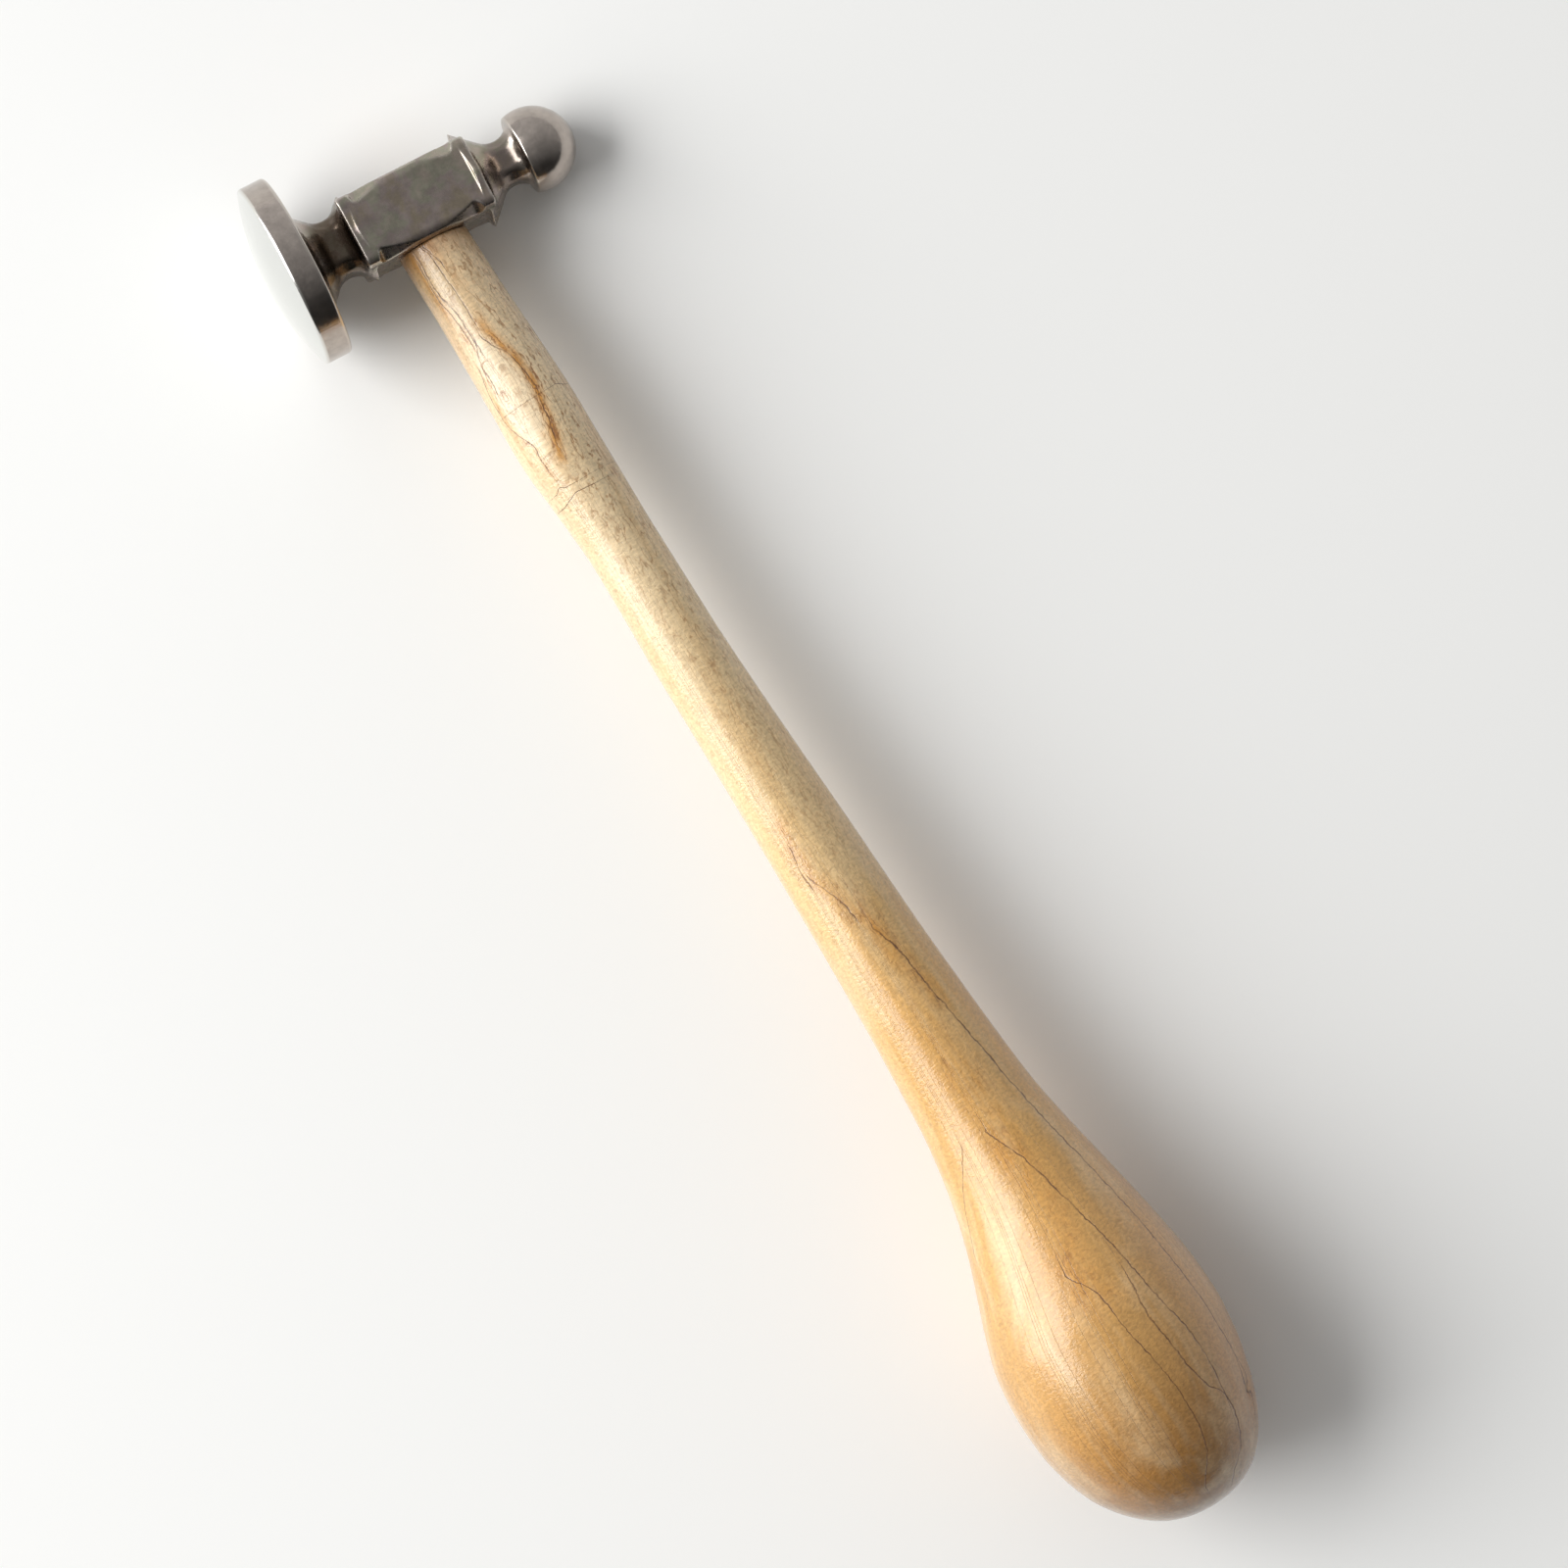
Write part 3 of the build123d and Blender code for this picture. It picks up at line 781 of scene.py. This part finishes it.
# checks and growth lines, and painted shadow in the grip's dent, drawn from the offsets kept in the
# mesh and shaken a little
shake = add(tree, "TexNoise", {"Vector": fibre, "Scale": 0.8, "Detail": 4.0})
shake = add(tree, "MapRange", {0: shake, 1: 0.3, 2: 0.7, 3: -1.0, 4: 1.0})
lines_and_dent_shade = None
for i in range(0, len(line_offsets), LINES_TOGETHER):
    offset = add(tree, "Attribute", {}, 1, attribute_name=f"lines_{i // LINES_TOGETHER}")
    offset = add(tree, "VectorMath", {0: offset, 1: shake}, operation="ADD")
    offset = add(tree, "VectorMath", {0: offset}, operation="ABSOLUTE")
    near = add(
        tree,
        "MapRange",
        {"Vector": offset, 7: (0.2,) * 3, 8: (1.1,) * 3, 9: (1.0,) * 3, 10: (0.0,) * 3},
        1,
        data_type="FLOAT_VECTOR",
    )
    near = add(tree, "VectorMath", {0: near, 1: (1, 1, 1)}, 1, operation="DOT_PRODUCT")
    lines_and_dent_shade = near if lines_and_dent_shade is None else add(tree, "Math", {0: lines_and_dent_shade, 1: near}, operation="ADD")
faint = add(tree, "Mapping", {"Vector": fibre, "Scale": (0.5, 0.5, 0.4)})
faint = add(tree, "TexNoise", {"Vector": faint, "Scale": 1.0, "Detail": 3.0})
faint = add(tree, "MapRange", {0: faint, 1: 0.35, 2: 0.55, 3: 0.45, 4: 0.95})
lines_and_dent_shade = add(tree, "Math", {0: lines_and_dent_shade, 1: faint}, operation="MULTIPLY", use_clamp=True)
ground = add(tree, "MixRGB", {0: lines_and_dent_shade, 1: ground, 2: linear("#5c3212")})
tree.links.new(ground, shader.inputs["Base Color"])

grooves = add(tree, "Math", {0: pores, 1: -0.5}, operation="MULTIPLY")
grooves = add(tree, "Math", {0: lines_and_dent_shade, 1: -0.7, 2: grooves}, operation="MULTIPLY_ADD")
grooves = add(tree, "Math", {0: pebbles, 1: 1.1, 2: grooves}, operation="MULTIPLY_ADD")
relief = add(tree, "Bump", {"Height": grooves, "Strength": 0.6, "Distance": 0.0001})
tree.links.new(relief, shader.inputs["Normal"])
skin = add(tree, "Bump", {"Height": grooves, "Strength": 0.5, "Distance": 0.0001})
tree.links.new(skin, shader.inputs["Coat Normal"])
handle.data.materials.clear()
handle.data.materials.append(wood)
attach(handle, "root")
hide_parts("handle")

# WOODEN WEDGE
# A slip of a darker, tougher wood driven into the tenon's kerf, then sawn and filed flush. It is
# seen end on: close growth lines about 0.8 mm apart and darker open vessels.
end_grain, tree, shader = new_material("sawn_end_grain", Roughness=0.7)
place = add(tree, "Mapping", {"Vector": add(tree, "TexCoord", {}, 3), "Scale": (1000,) * 3})
lines = add(tree, "TexWave", {"Vector": place, "Scale": 0.4, "Distortion": 3.0, "Detail": 3.0}, 1)
grain = add(
    tree, "ValToRGB", {0: lines}, stops=[(0.0, "#8a6036"), (0.6, "#a77c4a"), (1.0, "#b98c58")]
)
vessels = add(tree, "TexNoise", {"Vector": place, "Scale": 3.0, "Detail": 2.0})
vessels = add(tree, "MapRange", {0: vessels, 1: 0.36, 2: 0.42, 3: 0.7, 4: 0.0})
grain = add(tree, "MixRGB", {0: vessels, 1: grain, 2: linear("#5c3d20")})
tree.links.new(grain, shader.inputs["Base Color"])
frame["nodes"]["wooden_wedge"].data.materials[0] = end_grain

# STEEL WEDGE
# A barbed mild steel wedge driven across the wooden one. Its end is dull grey with the blurred
# dents of the hammer that drove it.
dull_steel, tree, shader = new_material("dull_mild_steel", Metallic=1.0, Roughness=0.45)
place = add(tree, "Mapping", {"Vector": add(tree, "TexCoord", {}, 3), "Scale": (1000,) * 3})
stains = add(tree, "TexNoise", {"Vector": place, "Scale": 0.9, "Detail": 4.0})
tone = add(
    tree, "ValToRGB", {0: stains}, stops=[(0.35, "#5f5b56"), (0.55, "#7b7772"), (0.7, "#8d8984")]
)
tree.links.new(tone, shader.inputs["Base Color"])
dents = add(tree, "Bump", {"Height": stains, "Strength": 0.4, "Distance": 0.0001})
tree.links.new(dents, shader.inputs["Normal"])
frame["nodes"]["steel_wedge"].data.materials[0] = dull_steel

# STUDIO
# A white paper sweep under the hammer, one large softbox to its left, and dim walls: pale
# towards the head's top and dark past the grip.
floor_mesh = bpy.data.meshes.new("floor")
floor_mesh.from_pydata([(-3, -3, 0), (3, -3, 0), (3, 3, 0), (-3, 3, 0)], [], [(0, 1, 2, 3)])
floor = bpy.data.objects.new("floor", floor_mesh)
bpy.context.scene.collection.objects.link(floor)
paper, tree, shader = new_material("matt_white_paper", Roughness=0.9)
shader.inputs["Base Color"].default_value = linear("#f4f4f2")
floor.data.materials.append(paper)

camera = bpy.data.objects.new("camera", bpy.data.cameras.new("camera"))
bpy.context.scene.collection.objects.link(camera)
camera.data.lens = 123.75
camera.data.clip_end = 20
back = Vector((0.0073, -0.0808, 0.9967)).normalized()
right = Vector((-0.5358, -0.8419, -0.0643))
right = (right - back * right.dot(back)).normalized()
turned = Matrix((right, back.cross(right), back)).transposed().to_4x4()
camera.matrix_world = Matrix.Translation((0.00885, -0.06469, 0.80542)) @ turned
bpy.context.scene.camera = camera
bpy.context.scene.view_settings.view_transform = "Standard"

bench_right = Vector((-0.536, -0.842, 0.0)).normalized()
bench_up = Vector((0.842, -0.536, 0.0)).normalized()
SOFTBOX_AWAY, SOFTBOX_SIDE, SOFTBOX_WATTS = 1.6, 1.6, 40.0
softbox = bpy.data.objects.new("softbox", bpy.data.lights.new("softbox", "AREA"))
bpy.context.scene.collection.objects.link(softbox)
softbox.data.size = SOFTBOX_SIDE
softbox.data.energy = SOFTBOX_WATTS
way = (bench_right * -0.85 + Vector((0, 0, 0.53))).normalized()
facing = way.to_track_quat("Z", "Y").to_matrix().to_4x4()
softbox.matrix_world = Matrix.Translation(way * SOFTBOX_AWAY) @ facing

world = bpy.data.worlds.new("studio_walls")
world.use_nodes = True
tree = world.node_tree
pale_way = bench_right * cos(radians(118)) + bench_up * sin(radians(118))
WALLS, WALLS_CHANGE, DARKEST = 0.34, 0.36, 0.03
toward = add(
    tree,
    "VectorMath",
    {0: add(tree, "TexCoord", {}), 1: pale_way * WALLS_CHANGE},
    1,
    operation="DOT_PRODUCT",
)
glow = add(tree, "Math", {0: toward, 1: WALLS}, operation="ADD")
glow = add(tree, "Math", {0: glow, 1: DARKEST}, operation="MAXIMUM")
tree.links.new(glow, tree.nodes["Background"].inputs["Strength"])
tree.nodes["Background"].inputs["Color"].default_value = (1, 1, 1, 1)
bpy.context.scene.world = world
